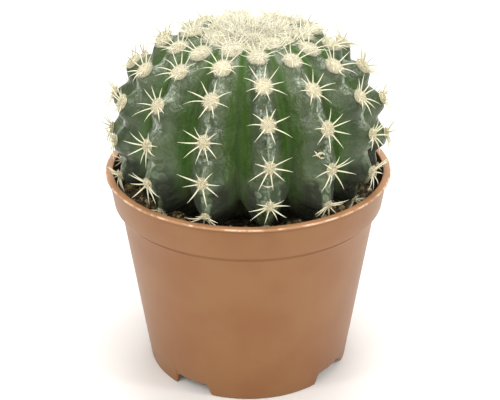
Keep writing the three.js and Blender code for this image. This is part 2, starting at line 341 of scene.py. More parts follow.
@dataclass
class Spikes:
    """Many curved spikes, kept as arrays until they are made into one mesh.

    Each one sets out from its root along its heading and is bent off it by the square of the way along it.
    """

    roots: Array
    headings: Array
    bends: Array
    lengths: Array
    radii: Array

    def mesh(self, name: str, template: Template) -> Mesh:
        """All the spikes as one mesh.

        Args:
            name: The mesh's name.
            template: The straight spike that each of them is bent from.

        Returns:
            The mesh, in metres.
        """
        across, upward, along = template.points.T[:, None, :, None]
        ahead = unit(self.headings)
        helper = np.where(np.abs(ahead[:, 2:3]) > 0.9, [[1.0, 0.0, 0.0]], [[0.0, 0.0, 1.0]])
        right = unit(np.cross(ahead, helper))
        above = np.cross(ahead, right)
        path = self.headings[:, None, :] * along + self.bends[:, None, :] * along**2
        ring = right[:, None, :] * across + above[:, None, :] * upward
        reach, radius = self.lengths[:, None, None], self.radii[:, None, None]
        return template.repeated(name, self.roots[:, None, :] + reach * path + radius * ring)


# Finishes


class NodeSheet:
    """One material's nodes, with short calls that add a node and wire it."""

    def __init__(self, name: str, colour: Colour) -> None:
        """Starts a material with its principled shader and its object coordinates.

        Args:
            name: The material's name.
            colour: Its first colour, which others are laid over.
        """
        self.material = bpy.data.materials.new(name)
        self.material.use_nodes = True
        self.nodes = self.material.node_tree.nodes
        self.surface = self.nodes["Principled BSDF"]
        self.place = self.node("TexCoord").outputs["Object"]
        self.colour = colour

    def feed(self, socket: Socket, value: object) -> None:
        """Links a socket to another one, or sets it to a plain value.

        Args:
            socket: The socket.
            value: Another socket, or a number, colour or vector.
        """
        if isinstance(value, Socket):
            self.material.node_tree.links.new(value, socket)
        else:
            socket.default_value = value

    def fill(self, node: bpy.types.Node, values: dict[str, object]) -> None:
        """Feeds a node's inputs, named with underscores for spaces."""
        for name, value in values.items():
            self.feed(node.inputs[name.replace("_", " ")], value)

    def node(self, kind: str, **values: object) -> bpy.types.Node:
        """Adds a node.

        Args:
            kind: Its kind.
            values: What its inputs are fed, by name.

        Returns:
            The node.
        """
        node = self.nodes.new(f"ShaderNode{kind}")
        self.fill(node, values)
        return node

    def attribute(self, name: str, output: str = "Fac") -> Socket:
        """A vertex attribute, as one number or, by the output Vector, as a vector.

        Args:
            name: The attribute's name.
            output: Which output to read.

        Returns:
            Its value.
        """
        node = self.node("Attribute")
        node.attribute_name = name
        return node.outputs[output]

    def height(self) -> Socket:
        """The height above the floor, in metres."""
        return self.node("SeparateXYZ", Vector=self.place).outputs["Z"]

    def cloud(self, size: float, detail: float, place: Socket | None = None) -> Socket:
        """Noise of 0 to 1.

        Args:
            size: Feature size in millimetres.
            detail: Octaves of finer noise.
            place: Coordinates in metres other than the object's, if any.

        Returns:
            The noise's value.
        """
        values = {"Vector": place or self.place, "Scale": 1 / (size * MM), "Detail": detail}
        return self.node("TexNoise", **values).outputs["Fac"]

    def stretched(self, place: Socket, factors: tuple) -> Socket:
        """Coordinates scaled along X, Y and Z, so that a pattern on them is drawn out."""
        return self.node("Mapping", Vector=place, Scale=factors).outputs[0]

    def shaken(self, place: Socket, size: float, reach: float) -> Socket:
        """Coordinates moved about by noise, so that a pattern on them is less regular.

        Args:
            place: The coordinates, in metres.
            size: The noise's feature size in millimetres.
            reach: How far it moves them, in millimetres.

        Returns:
            The moved coordinates.
        """
        shake = self.node("TexNoise", Vector=place, Scale=1 / (size * MM)).outputs["Color"]
        moved = self.node("VectorMath")
        moved.operation = "MULTIPLY_ADD"
        for socket, value in zip(moved.inputs, (shake, (2 * reach * MM,) * 3, place)):
            self.feed(socket, value)
        return moved.outputs[0]

    def cells(self, size: float, place: Socket, disorder: float = 1.0) -> Socket:
        """Distance from the nearest of many points, about size millimetres apart."""
        values = {"Vector": place, "Scale": 1 / (size * MM), "Randomness": disorder}
        return self.node("TexVoronoi", **values).outputs["Distance"]

    def step(self, value: Socket, low: float, high: float) -> Socket:
        """A smooth step from 0 at low to 1 at high, also with low above high.

        Args:
            value: The number that is stepped.
            low: Where the step gives 0.
            high: Where it gives 1.

        Returns:
            The step, 0 to 1.
        """
        falling = low > high
        source = {"Value": value, "From_Min": min(low, high), "From_Max": max(low, high)}
        node = self.node("MapRange", **source, To_Min=float(falling), To_Max=float(not falling))
        node.interpolation_type = "SMOOTHSTEP"
        return node.outputs[0]

    def patches(
        self, size: float, detail: float, low: float, high: float, place: Socket | None = None
    ) -> Socket:
        """Soft-edged patches, 0 outside and 1 inside, where noise goes from low to high."""
        return self.step(self.cloud(size, detail, place), low, high)

    def between(self, share: Socket, low: object, high: object) -> Socket:
        """A number between two, by a share of 0 to 1."""
        return self.node("MapRange", Value=share, To_Min=low, To_Max=high).outputs[0]

    def product(self, share: Socket, *others: object) -> Socket:
        """The product of shares, held to 0 to 1.

        Args:
            share: A share of 0 to 1.
            others: More of them.

        Returns:
            Their product, or the first where it is alone.
        """
        for other in others:
            node = self.node("Math")
            node.operation = "MULTIPLY"
            node.use_clamp = True
            self.feed(node.inputs[0], share)
            self.feed(node.inputs[1], other)
            share = node.outputs[0]
        return share

    def blend(self, share: Socket, first: object, second: object) -> Socket:
        """A colour between two.

        Args:
            share: The second colour's share, 0 to 1.
            first: The first colour.
            second: The second colour.

        Returns:
            The colour.
        """
        node = self.node("Mix")
        node.data_type = "RGBA"
        for index, value in ((0, share), (6, first), (7, second)):
            self.feed(node.inputs[index], value)
        return node.outputs[2]

    def coat(self, colour: Colour, *shares: object) -> None:
        """Lays a colour over the colour so far, by the product of its shares."""
        self.colour = self.blend(self.product(*shares), self.colour, colour)

    def relief(self, height: Socket, depth: float, below: Socket | None = None) -> Socket:
        """A bumped normal.

        Args:
            height: The relief, 0 to 1.
            depth: Its depth in millimetres.
            below: The normal of a coarser relief that it lies on, if any.

        Returns:
            The normal.
        """
        under = {} if below is None else {"Normal": below}
        return self.node("Bump", Height=height, Distance=depth * MM, **under).outputs["Normal"]

    def shade(self, **values: object) -> Material:
        """The material, with its colour and these values on its shader's sockets."""
        self.fill(self.surface, {"Base_Color": self.colour, **values})
        return self.material


@dataclass(frozen=True)
class MouldedPlastic:
    """Terracotta-coloured moulded plastic: its lip painted lighter as if lit from above, pale flash with a
    painted highlight along the lip's edge, painted shade in the creases under the lip and the collar, and
    darker inside below the lip.
    """

    plain: Colour = tint(145, 99, 56)
    warm: Colour = tint(139, 90, 48)
    # Painted light: the lip's top band is lighter, as if lit from above.
    lip: Colour = tint(186, 137, 98)
    # Pale moulding flash, also standing in for a painted highlight along the lip's outer edge.
    flash_and_highlight: Colour = tint(234, 202, 174)
    # Painted shade for the creases under the lip and under the collar.
    painted_crease_shade: Colour = tint(112, 68, 38)
    inside_dark: Colour = tint(62, 42, 34)
    lip_height: float = 89.5
    painted_lip_light_band: float = 1.2
    inside_dark_depth: float = 6.0

    def make(self) -> Material:
        """The finished material.

        Returns:
            The material.
        """
        sheet = NodeSheet("terracotta_plastic", self.plain)
        sheet.coat(self.warm, sheet.patches(26, 3, 0.35, 0.7))
        height, top = sheet.height(), self.lip_height
        # Painted light on the lip's top and upper edge, as if lit from above.
        sheet.coat(self.lip, sheet.step(height, (top - self.painted_lip_light_band) * MM, top * MM))
        # The inside wall is darker from just under the lip down to the soil.
        inside_darkening = sheet.step(height, (top + 1) * MM, (top - self.inside_dark_depth) * MM)
        sheet.coat(self.inside_dark, sheet.attribute("inside"), inside_darkening)
        # Painted shade: the creases under the lip and the collar are darkened, and made rougher.
        painted_crease_shade = sheet.attribute("painted_crease_shade")
        sheet.coat(self.painted_crease_shade, painted_crease_shade, 0.3)
        # Pale flash on the lip's outer edge, partly a painted highlight on that edge.
        sheet.coat(self.flash_and_highlight, sheet.attribute("flash_and_highlight"), sheet.patches(5, 5, 0.42, 0.6))
        draw_marks = sheet.cloud(7, 3, sheet.stretched(sheet.place, (1, 1, 0.25)))
        normal = sheet.relief(sheet.cloud(0.7, 4), 0.02, sheet.relief(draw_marks, 0.05))
        gloss = sheet.between(painted_crease_shade, 0.4, 0.9)
        return sheet.shade(Roughness=gloss, Normal=normal, Specular_IOR_Level=0.45)


@dataclass(frozen=True)
class Peat:
    """Dark moist peat, paler where it has dried, as a bed and as loose crumbs."""

    wet: Colour = tint(62, 53, 39)
    dry: Colour = tint(126, 108, 72)
    tan: Colour = tint(200, 180, 126)
    grit: Colour = tint(226, 220, 200)

    def make_bed(self) -> Material:
        """The bed's material.

        Returns:
            The material.
        """
        sheet = NodeSheet("peat_bed", self.wet)
        sheet.coat(self.dry, sheet.patches(2.4, 5, 0.42, 0.66))
        return sheet.shade(Roughness=0.95, Normal=sheet.relief(sheet.cloud(0.8, 5), 0.5))

    def make_crumbs(self) -> Material:
        """The crumbs' material, by the tone that each crumb carries.

        Returns:
            The material.
        """
        sheet = NodeSheet("peat_crumbs", self.wet)
        tone = sheet.attribute("tone")
        for colour, low, high in ((self.dry, 0.1, 0.45), (self.tan, 0.45, 0.7), (self.grit, 0.9, 0.93)):
            sheet.coat(colour, sheet.step(tone, low, high))
        return sheet.shade(Roughness=0.9, Normal=sheet.relief(sheet.cloud(0.5, 4), 0.2))


@dataclass(frozen=True)
class WaxySkin:
    """Grey-green waxy skin: fresh green in the grooves with painted shade along their bottoms, pale on the
    crests, wax bloom with painted glints, painted shade over the base and painted fill light low in the
    grooves.
    """

    flank: Colour = tint(73, 89, 53)
    flank_dark: Colour = tint(44, 62, 29)
    dust: Colour = tint(110, 122, 94)
    groove: Colour = tint(58, 92, 22)
    # Painted shade for the bottom of each groove.
    painted_groove_shade: Colour = tint(46, 74, 20)
    crest: Colour = tint(132, 150, 110)
    # Pale wax bloom, also the colour of painted glints and highlights.
    bloom_and_glint: Colour = tint(188, 199, 184)
    cork: Colour = tint(156, 167, 142)
    scar: Colour = tint(116, 131, 104)
    # Painted shade laid over the stem's base all round.
    base: Colour = tint(35, 41, 27)
    # Painted light: a lighter olive that stands in for fill light in the lowest grooves.
    painted_fill_light: Colour = tint(104, 114, 84)
    waxed_roughness: float = 0.3
    glazed_roughness: float = 0.16
    matt_roughness: float = 0.95

    def make(self) -> Material:
        """The finished material, on coordinates that unroll the skin from its crown down.

        Returns:
            The material.
        """
        sheet = NodeSheet("waxy_skin", self.flank)
        across, bloom_and_glint, shaded = (sheet.attribute(name) for name in ("across", "bloom_and_glint", "shaded"))
        unrolled = sheet.attribute("unrolled", "Vector")
        drawn_out = sheet.stretched(unrolled, (1, 1, 0.4))
        sheet.coat(self.flank_dark, sheet.patches(6, 5, 0.36, 0.66, drawn_out))
        sheet.coat(self.dust, sheet.attribute("young"), sheet.patches(3.5, 4, 0.38, 0.7, drawn_out), 0.5)
        sheet.coat(self.groove, sheet.step(across, 0.42, 0.86), sheet.patches(12, 3, 0.2, 0.62, drawn_out))
        # Painted shade: a darker line along the bottom of each groove.
        sheet.coat(self.painted_groove_shade, sheet.step(across, 0.93, 1.0), 0.6)
        rubbed = sheet.patches(3, 4, 0.42, 0.6, drawn_out)
        sheet.coat(self.crest, sheet.step(across, 0.06, 0.01), rubbed, 0.5)

        # Wax bloom and painted highlights: a painted gleam along the crests, and thin wax patches with
        # painted glints where the glaze is thicker.
        painted_gleam = sheet.patches(1.1, 4, 0.52, 0.6, drawn_out)
        sheet.coat(self.bloom_and_glint, sheet.step(across, 0.07, 0.02), bloom_and_glint, painted_gleam, 0.9)
        waxed = sheet.product(bloom_and_glint, sheet.patches(3.2, 2, 0.42, 0.58, unrolled))
        glaze_and_glint = sheet.product(waxed, sheet.patches(0.9, 4, 0.42, 0.6, unrolled))
        sheet.coat(self.bloom_and_glint, waxed, 0.1)
        sheet.coat(self.bloom_and_glint, glaze_and_glint, 0.7)

        # Age: corky blisters with paler rims low down. Fine pale specks all over, part dust and part
        # painted glints.
        worn = sheet.product(sheet.attribute("cork"), sheet.patches(9, 3, 0.28, 0.46))
        cells = sheet.cells(3.3, sheet.shaken(unrolled, 2.2, 0.9), 0.8)
        sheet.coat(self.scar, worn, sheet.step(cells, 0.54, 0.36), 0.6)
        rings = sheet.product(sheet.step(cells, 0.2, 0.36), sheet.step(cells, 0.52, 0.4))
        sheet.coat(self.cork, worn, rings, sheet.patches(1.4, 4, 0.34, 0.56), 0.3)
        specks = sheet.step(sheet.cells(1.1, sheet.place), 0.13, 0.06)
        sheet.coat(self.bloom_and_glint, specks, sheet.patches(4, 4, 0.5, 0.62), 0.35)
        # Painted shade over the base, below an uneven edge all round.
        sheet.coat(self.base, shaded, 0.9)
        # Painted light: the lowest grooves are painted lighter, standing in for fill light.
        sheet.coat(self.painted_fill_light, sheet.attribute("painted_fill_light"))

        ripple = sheet.relief(sheet.cloud(2.6, 3), 0.6)
        blisters = sheet.product(worn, sheet.step(cells, 0.52, 0.2))
        relief = sheet.relief(blisters, 0.3, sheet.relief(sheet.cloud(0.8, 4), 0.06, ripple))
        gloss = sheet.between(glaze_and_glint, self.waxed_roughness, self.glazed_roughness)
        for dull in (sheet.step(across, 0.7, 0.95), shaded):
            gloss = sheet.between(dull, gloss, self.matt_roughness)
        return sheet.shade(Roughness=gloss, Normal=relief, Specular_IOR_Level=0.6)


@dataclass(frozen=True)
class Spine:
    """Pale horn-like spines, yellower at the root on young ones."""

    plain: Colour = tint(235, 232, 204)
    root: Colour = tint(228, 219, 176)
    young: Colour = tint(244, 240, 200)
    pale: Colour = tint(250, 248, 230)

    def make(self) -> Material:
        """The finished material.

        Returns:
            The material.
        """
        sheet = NodeSheet("spines", self.root)
        youth = sheet.attribute("youth")
        sheet.coat(self.young, youth)
        horn = sheet.blend(youth, self.plain, self.pale)
        sheet.coat(horn, sheet.step(sheet.attribute("along"), 0.0, 0.4))
        return sheet.shade(Roughness=0.5, Normal=sheet.relief(sheet.cloud(0.5, 2), 0.04))


@dataclass(frozen=True)
class Wool:
    """Cream felt, yellower on old pads and whiter at the crown."""

    name: str = "wool_pads"
    plain: Colour = tint(222, 213, 180)
    middle: Colour = tint(216, 204, 166)
    crown: Colour = tint(222, 217, 192)

    def make(self) -> Material:
        """The finished material.

        Returns:
            The material.
        """
        sheet = NodeSheet(self.name, self.plain)
        sheet.coat(self.middle, sheet.patches(1.4, 4, 0.42, 0.66))
        sheet.coat(self.crown, sheet.attribute("youth"))
        felt = {"Sheen_Weight": 0.8, "Sheen_Roughness": 0.5, "Specular_IOR_Level": 0.1}
        return sheet.shade(Roughness=0.95, Normal=sheet.relief(sheet.cloud(0.45, 4), 0.08), **felt)


@dataclass(frozen=True)
class DryFibre:
    """Bits of dried plant fibre that lie on the skin."""

    plain: Colour = tint(240, 236, 212)
    dark: Colour = tint(220, 210, 172)

    def make(self) -> Material:
        """The finished material.

        Returns:
            The material.
        """
        sheet = NodeSheet("dry_fibre", self.plain)
        sheet.coat(self.dark, sheet.patches(1.1, 3, 0.4, 0.65))
        return sheet.shade(Roughness=0.8, Normal=sheet.relief(sheet.cloud(0.4, 3), 0.1))


# Pot


@dataclass
class NurseryPot:
    """The moulded pot: a lip, a collar, a tapered wall, and a notched foot."""

    height: float = 89.5
    foot_radius: float = 44.0
    wall: float = 1.2
    floor_bottom: float = 4.0
    body_top: float = 72.5
    body_top_radius: float = 54.2
    collar_bottom: float = 75.5
    collar_bottom_radius: float = 57.0
    collar_top_radius: float = 58.8
    lip_radius: float = 60.0
    lip_thickness: float = 1.1
    lip_inside: float = 56.9
    columns: int = 720
    notch_height: float = 4.8
    skirt: float = 9.0
    drain_radius: float = 4.0
    drain_distance: float = 35.0
    flash_size: float = 3.5
    flash_width: float = 0.0025
    flash_rise: float = 0.16

    # Azimuths in degrees of each notch's two sides, at the foot and at the notch's top.
    notches: tuple = (
        ((-44.5, -43.2), (-20.2, -23.6)),
        ((39.9, 44.4), (72.0, 60.0)),
        ((132.5, 134.0), (157.0, 153.5)),
        ((-136.0, -132.5), (-111.0, -112.5)),
    )

    def wall_radius(self, height: float) -> float:
        """Outer radius of the tapered wall."""
        return self.foot_radius + (self.body_top_radius - self.foot_radius) * height / self.body_top

    def inner_step(self) -> tuple[float, float]:
        """Bottom and top of the step inside, where the wall widens to the collar."""
        return self.body_top + 0.7 * self.wall, self.collar_bottom + 0.7 * self.wall

    def inside(self, height: float) -> float:
        """Inner radius at a height, through the step and the collar.

        Args:
            height: The height.

        Returns:
            The radius.
        """
        body = self.body_top_radius
        heights = [0, self.body_top, *self.inner_step(), self.height]
        radii = [self.foot_radius, body, body, self.collar_bottom_radius, self.collar_top_radius]
        return float(np.interp(height, heights, radii)) - self.wall

    def outline(self) -> list[tuple[float, float]]:
        """The wall's section, from the floor's underside round to its top.

        Returns:
            Radii and heights.
        """
        top, floor, foot, lip = self.height, self.floor_bottom, self.foot_radius, self.lip_radius
        body, shoulder = self.body_top_radius, self.body_top
        collar, collar_top, low = self.collar_bottom_radius, self.collar_top_radius, self.collar_bottom
        step_bottom, step_top = self.inner_step()
        lip_bottom = top - self.lip_thickness
        floor_top = floor + self.wall
        foot_inside = foot - self.wall
        outside = (0.25, 1.0, 2.2, 3.6, 5.2, 7.0, self.skirt, 30, 50, 66, shoulder - 0.8)
        inside = (top - 2.6, 83.0, step_top + 0.5, step_top - 0.3, step_bottom, 50.0, floor_top + 0.6)
        return [
            (0.0, floor),
            (20.0, floor),
            (foot_inside - 0.6, floor),
            (foot_inside + 0.1, floor - 0.3),
            (foot_inside + 0.02, 2.0),
            (foot_inside + 0.02, 0.2),
            (foot_inside + 0.25, 0.0),
            (foot - 0.25, 0.0),
            *((self.wall_radius(height), height) for height in outside),
            (body + 0.12, shoulder - 0.1),
            (body + 0.5, shoulder + 0.5),
            (collar - 0.75, low - 0.75),
            (collar - 0.22, low - 0.25),
            (collar, low + 0.25),
            (collar + 0.9, 0.5 * (low + lip_bottom)),
            (collar_top - 0.2, lip_bottom - 1.3),
            (collar_top - 0.1, lip_bottom - 0.5),
            (collar_top, lip_bottom - 0.15),
            (collar_top + 0.2, lip_bottom),
            (lip - 0.25, lip_bottom),
            (lip, lip_bottom + 0.25),
            (lip, top - 0.6),
            (lip, top - 0.4),
            (lip - 0.12, top - 0.12),
            (lip - 0.3, top),
            (lip - 0.65, top),
            (self.lip_inside + 0.3, top),
            (self.lip_inside + 0.05, top - 0.15),
            (self.lip_inside, top - 0.8),
            *((self.inside(height), height) for height in inside),
            (self.inside(floor_top) - 0.6, floor_top),
            (20.0, floor_top),
            (0.0, floor_top),
        ]

    def notch_edge(self, azimuth: float) -> float:
        """Height of the foot's edge: 0 on the feet, raised in a notch.

        Args:
            azimuth: The azimuth in degrees.

        Returns:
            The height.
        """
        for (low_start, high_start), (low_end, high_end) in self.notches:
            if low_start <= azimuth <= low_end:
                rise = smooth(azimuth, low_start, high_start)
                return self.notch_height * float(np.minimum(rise, 1 - smooth(azimuth, high_end, low_end)))
        return 0.0

    def shape(self) -> Mesh:
        """The spun and notched wall, before the drainage holes are cut.

        Returns:
            The mesh.
        """
        bm = spun(self.outline(), self.columns)
        for vert in bm.verts:
            radius = vert.co.xy.length
            if vert.co.z < self.skirt and radius > self.foot_radius - self.wall - 0.05:
                edge = self.notch_edge(math.degrees(math.atan2(vert.co.x, -vert.co.y)))
                outer = radius > self.wall_radius(vert.co.z) - 0.4 * self.wall
                top = self.skirt if outer else self.floor_bottom
                vert.co.z = edge + vert.co.z * (top - edge) / top if vert.co.z < top else vert.co.z
            if vert.co.z > self.height - 0.5 and radius > self.lip_radius - 0.4:
                ragged = noise.noise(Vector((vert.co.x, vert.co.y, 0)) / self.flash_size)
                vert.co.xy *= 1 + self.flash_width * max(ragged, -0.2)
                vert.co.z += self.flash_rise * max(ragged, 0)
        return mesh_from(bm, "pot_shell")

    def build(self) -> Piece:
        """Makes the pot, cuts its drainage holes and marks its inside.

        Returns:
            The pot.
        """
        piece = make_object("pot_shell", self.shape())
        drill = {"segments": 32, "radius1": self.drain_radius, "radius2": self.drain_radius, "depth": 6}
        bm = bmesh.new()
        for start, end in self.notches:
            hole = bmesh.ops.create_cone(bm, cap_ends=True, **drill)
            middle = math.radians(0.5 * (start[1] + end[1]))
            centre = polar(self.drain_distance, middle, self.floor_bottom + 0.5 * self.wall)
            bmesh.ops.translate(bm, vec=centre.tolist(), verts=hole["verts"])
        cutter = make_object("drain_cutter", mesh_from(bm, "drain_cutter"))
        cut = piece.modifiers.new("drains", "BOOLEAN")
        cut.operation = "DIFFERENCE"
        cut.object = cutter
        whole = bpy.data.meshes.new_from_object(piece.evaluated_get(bpy.context.evaluated_depsgraph_get()))
        piece.modifiers.clear()
        piece.data = whole
        bpy.data.objects.remove(cutter)
        self.mark(whole)
        return piece

    def mark(self, mesh: Mesh) -> None:
        """Keeps which vertices are inside, on the lip's outer edge, and in the creases under the lip and
        the collar that are painted darker as shade.

        Args:
            mesh: The pot's mesh.
        """
        points = read_points(mesh) / MM
        radius, height = radius_of(points), points[:, 2]
        heights = [0, self.body_top, self.collar_bottom, self.height]
        radii = [self.foot_radius, self.body_top_radius, self.collar_bottom_radius, self.collar_top_radius]
        inner = radius < np.interp(height, heights, radii) - 0.55 * self.wall
        inner &= (height > self.floor_bottom + 0.9 * self.wall) & (height < self.height - 0.5)
        edge = (height > self.height - 0.45) & (radius > self.lip_radius - 0.45)
        lip_bottom = self.height - self.lip_thickness
        under_lip = (height > lip_bottom - 0.6) & (height < lip_bottom + 0.1)
        under_collar = (height > self.body_top + 0.4) & (height < self.collar_bottom - 0.5)
        write_attribute(mesh, "inside", inner)
        write_attribute(mesh, "flash_and_highlight", edge)
        write_attribute(mesh, "painted_crease_shade", (under_lip & (radius < self.lip_radius - 0.3)) | under_collar)


# Soil


@dataclass
class PeatSoil:
    """The pot's filling: a bed with a plain hole for the root, loose crumbs and fibres."""

    pot: NurseryPot
    edge_height: float = 75.6
    centre_height: float = 73.2
    hole_radius: float = 14.4
    hole_depth: float = 36.0
    lump: float = 0.72
    clearance: float = 0.35
    columns: int = 300
    rings: int = 46
    seen_from: float = 31.0
    crumbs: int = 1900
    smallest: float = 0.35
    size_spread: float = 1.35
    crumb_squash: tuple = (0.6, 1.15)
    crumb_roughness: tuple = (0.72, 1.2)
    crumb_seed: int = 5
    grit_share: float = 0.07
    fibres: int = 160
    fibre_radius: float = 0.11
    fibre_lengths: tuple = (1.2, 3.6)
    fibre_tone: float = 0.82
    fibre_seed: int = 6

    def level(self, points: Array) -> Array:
        """Height of the surface under points.

        Args:
            points: The points, one a row.

        Returns:
            One height a point.
        """
        radius = radius_of(points)
        flat = np.column_stack([points[:, 0], points[:, 1], np.zeros(len(points))])
        coarse = grain(flat, 5.0, 1) + 0.5 * grain(flat, 1.9, 2)
        slope = (self.edge_height - self.centre_height) * smooth(radius, 22, 37)
        return self.centre_height + slope + self.lump * smooth(radius, 26, 36) * coarse

    def build_bed(self) -> Piece:
        """The bed, spun from its section and made uneven on top.

        Returns:
            The bed.
        """
        gap, above = self.clearance, self.edge_height + 5
        bottom = self.pot.floor_bottom + self.pot.wall + gap
        shoulder, _ = self.pot.inner_step()
        rim = self.pot.inside(self.edge_height) - gap - 0.3
        rings = np.linspace(self.hole_radius, rim - 0.5, self.rings)
        section = [(0, self.hole_depth), (4.2, self.hole_depth + 2), (self.hole_radius - 1, 60)]
        section += [(radius, above) for radius in rings]
        section += [(rim, self.edge_height - 0.8), (self.pot.inside(shoulder) - gap, shoulder)]
        section += [(self.pot.inside(bottom) - gap, bottom), (0, bottom)]
        bm = spun(section, self.columns)
        surface = [vert for vert in bm.verts if vert.co.z > above - 1]
        heights = self.level(np.array([vert.co[:] for vert in surface]))
        for vert, height in zip(surface, heights):
            vert.co.z = height
        return make_object("soil_bed", mesh_from(bm, "soil_bed"))

    def scatter(self, count: int, draw: np.random.Generator) -> Array:
        """Random points on the visible ring of the surface.

        Args:
            count: How many.
            draw: Where the random numbers come from.

        Returns:
            The points, one a row.
        """
        inner, outer = self.seen_from, self.pot.inside(self.edge_height) - 1.4
        radius = np.sqrt(draw.uniform(inner**2, outer**2, count))
        points = polar(radius, draw.uniform(0, FULL_TURN, count), np.zeros(count))
        points[:, 2] = self.level(points)
        return points

    def build_crumbs(self) -> Piece:
        """Loose crumbs of many sizes, each with a tone from dark peat to pale grit.

        Returns:
            The crumbs.
        """
        draw, count = np.random.default_rng(self.crumb_seed), self.crumbs
        ball = Template.ball(1)
        centres = self.scatter(count, draw)
        sizes = self.smallest + self.size_spread * draw.random(count) ** 2.6
        squash = draw.uniform(*self.crumb_squash, (count, 1, 3))
        rough = draw.uniform(*self.crumb_roughness, (count, len(ball.points), 1))
        centres[:, 2] += 0.25 * sizes
        points = centres[:, None, :] + sizes[:, None, None] * squash * rough * ball.points[None, :, :]
        mesh = ball.repeated("soil_crumbs", points)
        tone = 0.62 * draw.random(count) + 0.55 * np.clip(0.5 + grain(centres, 4.5, 9), 0, 1)
        tone = np.where(draw.random(count) < self.grit_share, 1.0, np.minimum(tone, 0.88))
        write_attribute(mesh, "tone", np.repeat(tone, len(ball.points)))
        return make_object("soil_crumbs", mesh, shade_smooth=False)

    def build_fibres(self) -> Piece:
        """Fine tan fibres that lie on the peat.

        Returns:
            The fibres.
        """
        draw, count = np.random.default_rng(self.fibre_seed), self.fibres
        roots = self.scatter(count, draw) + [0, 0, 0.35]
        heading = draw.uniform(0, FULL_TURN, count)
        ahead = polar(np.ones(count), heading, draw.uniform(0.0, 0.25, count))
        bends = polar(draw.uniform(-0.4, 0.4, count), heading + 1.6, np.full(count, -0.2))
        lengths = draw.uniform(*self.fibre_lengths, count)
        inward = np.einsum("ij,ij->i", roots, ahead) > 0
        ahead[inward, :2] *= -1
        spikes = Spikes(roots, unit(ahead), bends, lengths, np.full(count, self.fibre_radius))
        mesh = spikes.mesh("soil_fibres", Template.taper(3, 4))
        write_attribute(mesh, "tone", np.full(len(mesh.vertices), self.fibre_tone))
        return make_object("soil_fibres", mesh)


# Cactus


